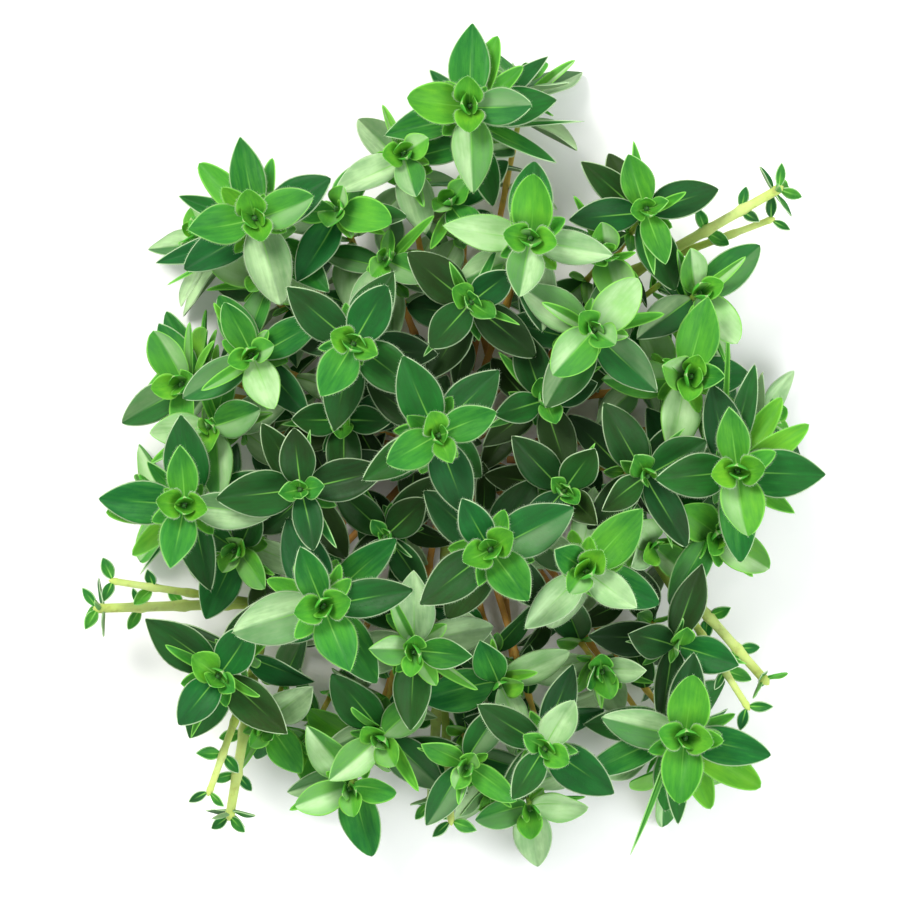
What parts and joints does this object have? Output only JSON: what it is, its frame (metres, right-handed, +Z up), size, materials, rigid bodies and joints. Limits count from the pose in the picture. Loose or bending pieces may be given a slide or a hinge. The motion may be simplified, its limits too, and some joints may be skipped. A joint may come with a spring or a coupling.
{
  "type": "thyme bundle",
  "caption": "Loose bundle of fresh thyme lying on a surface: small-leaved sprigs fan out from their cut ends in the middle, with their leafy tips turned up.",
  "frame": {"origin": "on the surface that the bundle lies on, under the middle of its outline", "axes": "+Z up; +Y towards the single sprig that stands out furthest, +X to the right as seen from above"},
  "size_m": [0.1081, 0.1238, 0.0459],
  "materials": {
    "leaf": "fresh green leaf, satin with a fine down, paler along its rib and rim",
    "stem": "matt young stem, yellow-green near its tip and ochre lower down",
    "twig": "matt pale yellow-green twig"
  },
  "bodies": {
    "root": {"sprig_01": "leaf", "sprig_02": "leaf", "sprig_03": "leaf", "sprig_04": "leaf", "sprig_05": "leaf", "sprig_06": "leaf", "sprig_07": "leaf", "sprig_08": "leaf", "sprig_09": "leaf", "sprig_10": "leaf", "sprig_11": "leaf", "sprig_12": "leaf", "sprig_13": "leaf", "sprig_14": "leaf", "sprig_15": "leaf", "sprig_16": "leaf", "sprig_17": "leaf", "sprig_18": "leaf", "sprig_19": "leaf", "sprig_20": "leaf", "sprig_21": "leaf", "sprig_22": "leaf", "sprig_23": "leaf", "sprig_24": "leaf", "sprig_25": "leaf", "sprig_26": "leaf", "sprig_27": "leaf", "sprig_28": "leaf", "sprig_29": "leaf", "sprig_30": "leaf", "sprig_31": "leaf", "sprig_32": "leaf", "sprig_33": "leaf", "sprig_34": "leaf", "sprig_35": "leaf", "sprig_36": "leaf", "sprig_37": "leaf", "sprig_38": "leaf", "sprig_39": "leaf", "sprig_40": "leaf", "sprig_41": "leaf", "sprig_42": "leaf", "sprig_43": "leaf", "sprig_44": "leaf", "sprig_45": "leaf", "skirt_1": "leaf", "skirt_2": "leaf", "skirt_3": "leaf", "skirt_4": "leaf", "skirt_5": "leaf", "skirt_6": "leaf", "skirt_7": "leaf", "skirt_8": "leaf", "skirt_9": "leaf", "twig_1": "twig", "twig_2": "twig", "twig_3": "twig", "twig_4": "twig", "twig_5": "twig"}
  },
  "joints": []
}
